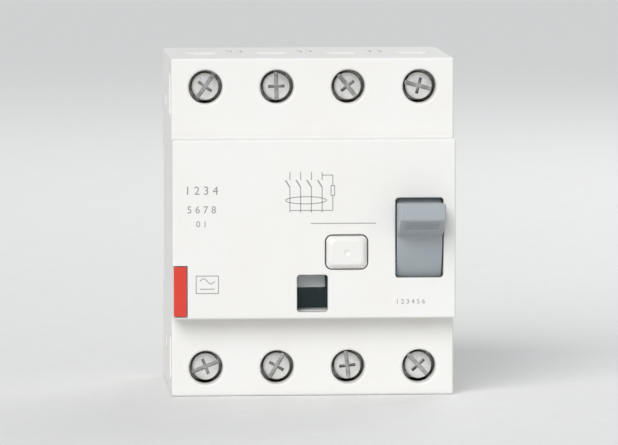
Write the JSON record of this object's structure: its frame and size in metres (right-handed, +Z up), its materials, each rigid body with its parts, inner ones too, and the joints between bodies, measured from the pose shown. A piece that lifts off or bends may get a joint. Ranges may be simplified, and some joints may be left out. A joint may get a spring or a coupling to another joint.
{
  "type": "residual current device",
  "caption": "Rail-mounted residual current device with a tilting lever, push-to-test button, indicator window, screw clamp terminals and a sprung rail clip.",
  "frame": {"origin": "middle of the seat that lies on the front face of the DIN rail", "axes": "+X to the right seen from the front, +Y towards the rail and the wall, +Z up"},
  "size_m": [0.0714, 0.066, 0.0856],
  "materials": {
    "housing": "fine moulded off-white",
    "inner_plastic": "moulded black",
    "pale_plastic": "smooth off-white",
    "lever_grey": "satin mid grey",
    "clear_lens": "clear",
    "flag_grey": "smooth light grey",
    "marker_red": "satin red",
    "zinc_steel": "bright zinc plating",
    "copper": "bright copper",
    "wire_sleeve": "blue insulation",
    "enamel_winding": "enamelled copper wire",
    "ferrite": "dull core",
    "resistor": "lacquered",
    "clip_black": "moulded black"
  },
  "bodies": {
    "housing": {"rear_housing": "housing", "front_cover": "housing", "inner_frame": "inner_plastic", "side_marker": "marker_red", "indicator_lens": "clear_lens", "indicator_guide": "inner_plastic", "mechanism_bracket": "zinc_steel", "toggle_pin": "zinc_steel", "test_contact": "copper", "test_resistor": "resistor", "toroid_core": "ferrite", "toroid_winding": "enamel_winding", "relay_yoke": "zinc_steel", "relay_coil": "enamel_winding", "clip_spring": "zinc_steel", "contact_spring": "zinc_steel", "test_button_spring": "zinc_steel", "housing_screw_1": "zinc_steel", "housing_screw_2": "zinc_steel", "housing_screw_3": "zinc_steel", "housing_screw_4": "zinc_steel", "line_contact_1": "copper", "line_contact_2": "copper", "line_contact_3": "copper", "line_contact_4": "copper", "load_conductor_1": "wire_sleeve", "load_conductor_2": "wire_sleeve", "load_conductor_3": "wire_sleeve", "load_conductor_4": "wire_sleeve"},
    "toggle": {"toggle_lever": "lever_grey"},
    "drive_link": {"drive_link": "zinc_steel"},
    "contact_shaft": {"contact_shaft": "inner_plastic", "moving_contact_1": "copper", "moving_contact_2": "copper", "moving_contact_3": "copper", "moving_contact_4": "copper"},
    "indicator_flag": {"indicator_flag": "flag_grey"},
    "test_button": {"test_button": "pale_plastic"},
    "rail_clip": {"rail_clip": "clip_black"},
    "relay_plunger": {"relay_plunger": "zinc_steel"},
    "trip_bar": {"trip_bar": "pale_plastic"},
    "latch_lever": {"latch_lever": "zinc_steel"},
    "terminal_screw_1": {"terminal_screw_1": "zinc_steel"},
    "clamp_cage_1": {"clamp_cage_1": "zinc_steel"},
    "terminal_screw_2": {"terminal_screw_2": "zinc_steel"},
    "clamp_cage_2": {"clamp_cage_2": "zinc_steel"},
    "terminal_screw_3": {"terminal_screw_3": "zinc_steel"},
    "clamp_cage_3": {"clamp_cage_3": "zinc_steel"},
    "terminal_screw_4": {"terminal_screw_4": "zinc_steel"},
    "clamp_cage_4": {"clamp_cage_4": "zinc_steel"},
    "terminal_screw_5": {"terminal_screw_5": "zinc_steel"},
    "clamp_cage_5": {"clamp_cage_5": "zinc_steel"},
    "terminal_screw_6": {"terminal_screw_6": "zinc_steel"},
    "clamp_cage_6": {"clamp_cage_6": "zinc_steel"},
    "terminal_screw_7": {"terminal_screw_7": "zinc_steel"},
    "clamp_cage_7": {"clamp_cage_7": "zinc_steel"},
    "terminal_screw_8": {"terminal_screw_8": "zinc_steel"},
    "clamp_cage_8": {"clamp_cage_8": "zinc_steel"}
  },
  "joints": [
    {"name": "toggle_tilt", "type": "hinge", "parent": "housing", "child": "toggle", "pos_m": [0.0265, -0.0325, -0.0023], "axis": [1, 0, 0], "range_deg": [0, 32]},
    {"name": "drive_link_turn", "type": "hinge", "parent": "toggle", "child": "drive_link", "pos_m": [0.0225, -0.0265, -0.0023], "axis": [1, 0, 0], "range_deg": [-45, 0]},
    {"name": "contact_shaft_turn", "type": "hinge", "parent": "housing", "child": "contact_shaft", "pos_m": [0, -0.013, 0.006], "axis": [1, 0, 0], "range_deg": [-26, 0], "deforming": ["contact_spring"]},
    {"name": "indicator_flag_slide", "type": "slide", "parent": "housing", "child": "indicator_flag", "axis": [0, 0, -1], "range_m": [0, 0.0051]},
    {"name": "test_button_push", "type": "slide", "parent": "housing", "child": "test_button", "axis": [0, 1, 0], "range_m": [0, 0.002], "stiffness_N_per_m": 600, "springref_m": -0.001, "deforming": ["test_button_spring"]},
    {"name": "rail_clip_slide", "type": "slide", "parent": "housing", "child": "rail_clip", "axis": [0, 0, -1], "range_m": [0, 0.0035], "stiffness_N_per_m": 1500, "springref_m": -0.001, "deforming": ["clip_spring"]},
    {"name": "relay_plunger_lift", "type": "slide", "parent": "housing", "child": "relay_plunger", "axis": [0, 0, 1], "range_m": [0, 0.0015], "stiffness_N_per_m": 300, "springref_m": -0.001},
    {"name": "trip_bar_turn", "type": "hinge", "parent": "housing", "child": "trip_bar", "pos_m": [0, -0.034, 0.015], "axis": [1, 0, 0], "range_deg": [-23, 0]},
    {"name": "latch_turn", "type": "hinge", "parent": "housing", "child": "latch_lever", "pos_m": [0.0175, -0.034, 0.004], "axis": [1, 0, 0], "range_deg": [0, 23]},
    {"name": "clamp_cage_1_slide", "type": "slide", "parent": "housing", "child": "clamp_cage_1", "axis": [0, -1, 0], "range_m": [0, 0.0048]},
    {"name": "terminal_screw_1_turn", "type": "hinge", "parent": "housing", "child": "terminal_screw_1", "pos_m": [-0.027, -0.0405, 0.0355], "axis": [0, 1, 0], "range_deg": [0, 2170]},
    {"name": "clamp_cage_2_slide", "type": "slide", "parent": "housing", "child": "clamp_cage_2", "axis": [0, -1, 0], "range_m": [0, 0.0048]},
    {"name": "terminal_screw_2_turn", "type": "hinge", "parent": "housing", "child": "terminal_screw_2", "pos_m": [-0.009, -0.0405, 0.0355], "axis": [0, 1, 0], "range_deg": [0, 2170]},
    {"name": "clamp_cage_3_slide", "type": "slide", "parent": "housing", "child": "clamp_cage_3", "axis": [0, -1, 0], "range_m": [0, 0.0048]},
    {"name": "terminal_screw_3_turn", "type": "hinge", "parent": "housing", "child": "terminal_screw_3", "pos_m": [0.009, -0.0405, 0.0355], "axis": [0, 1, 0], "range_deg": [0, 2170]},
    {"name": "clamp_cage_4_slide", "type": "slide", "parent": "housing", "child": "clamp_cage_4", "axis": [0, -1, 0], "range_m": [0, 0.0048]},
    {"name": "terminal_screw_4_turn", "type": "hinge", "parent": "housing", "child": "terminal_screw_4", "pos_m": [0.027, -0.0405, 0.0355], "axis": [0, 1, 0], "range_deg": [0, 2170]},
    {"name": "clamp_cage_5_slide", "type": "slide", "parent": "housing", "child": "clamp_cage_5", "axis": [0, -1, 0], "range_m": [0, 0.0048]},
    {"name": "terminal_screw_5_turn", "type": "hinge", "parent": "housing", "child": "terminal_screw_5", "pos_m": [-0.027, -0.0405, -0.0355], "axis": [0, 1, 0], "range_deg": [0, 2170]},
    {"name": "clamp_cage_6_slide", "type": "slide", "parent": "housing", "child": "clamp_cage_6", "axis": [0, -1, 0], "range_m": [0, 0.0048]},
    {"name": "terminal_screw_6_turn", "type": "hinge", "parent": "housing", "child": "terminal_screw_6", "pos_m": [-0.009, -0.0405, -0.0355], "axis": [0, 1, 0], "range_deg": [0, 2170]},
    {"name": "clamp_cage_7_slide", "type": "slide", "parent": "housing", "child": "clamp_cage_7", "axis": [0, -1, 0], "range_m": [0, 0.0048]},
    {"name": "terminal_screw_7_turn", "type": "hinge", "parent": "housing", "child": "terminal_screw_7", "pos_m": [0.009, -0.0405, -0.0355], "axis": [0, 1, 0], "range_deg": [0, 2170]},
    {"name": "clamp_cage_8_slide", "type": "slide", "parent": "housing", "child": "clamp_cage_8", "axis": [0, -1, 0], "range_m": [0, 0.0048]},
    {"name": "terminal_screw_8_turn", "type": "hinge", "parent": "housing", "child": "terminal_screw_8", "pos_m": [0.027, -0.0405, -0.0355], "axis": [0, 1, 0], "range_deg": [0, 2170]}
  ],
  "couplings": [
    {"joint": "drive_link_turn", "follows": "toggle_tilt", "ratio": -1.1731},
    {"joint": "contact_shaft_turn", "follows": "toggle_tilt", "ratio": -0.78125},
    {"joint": "indicator_flag_slide", "follows": "toggle_tilt", "m_per_rad": 0.008952},
    {"joint": "trip_bar_turn", "follows": "relay_plunger_lift", "rad_per_m": -250},
    {"joint": "latch_turn", "follows": "relay_plunger_lift", "rad_per_m": 244},
    {"joint": "terminal_screw_1_turn", "follows": "clamp_cage_1_slide", "rad_per_m": 7854},
    {"joint": "terminal_screw_2_turn", "follows": "clamp_cage_2_slide", "rad_per_m": 7854},
    {"joint": "terminal_screw_3_turn", "follows": "clamp_cage_3_slide", "rad_per_m": 7854},
    {"joint": "terminal_screw_4_turn", "follows": "clamp_cage_4_slide", "rad_per_m": 7854},
    {"joint": "terminal_screw_5_turn", "follows": "clamp_cage_5_slide", "rad_per_m": 7854},
    {"joint": "terminal_screw_6_turn", "follows": "clamp_cage_6_slide", "rad_per_m": 7854},
    {"joint": "terminal_screw_7_turn", "follows": "clamp_cage_7_slide", "rad_per_m": 7854},
    {"joint": "terminal_screw_8_turn", "follows": "clamp_cage_8_slide", "rad_per_m": 7854}
  ]
}
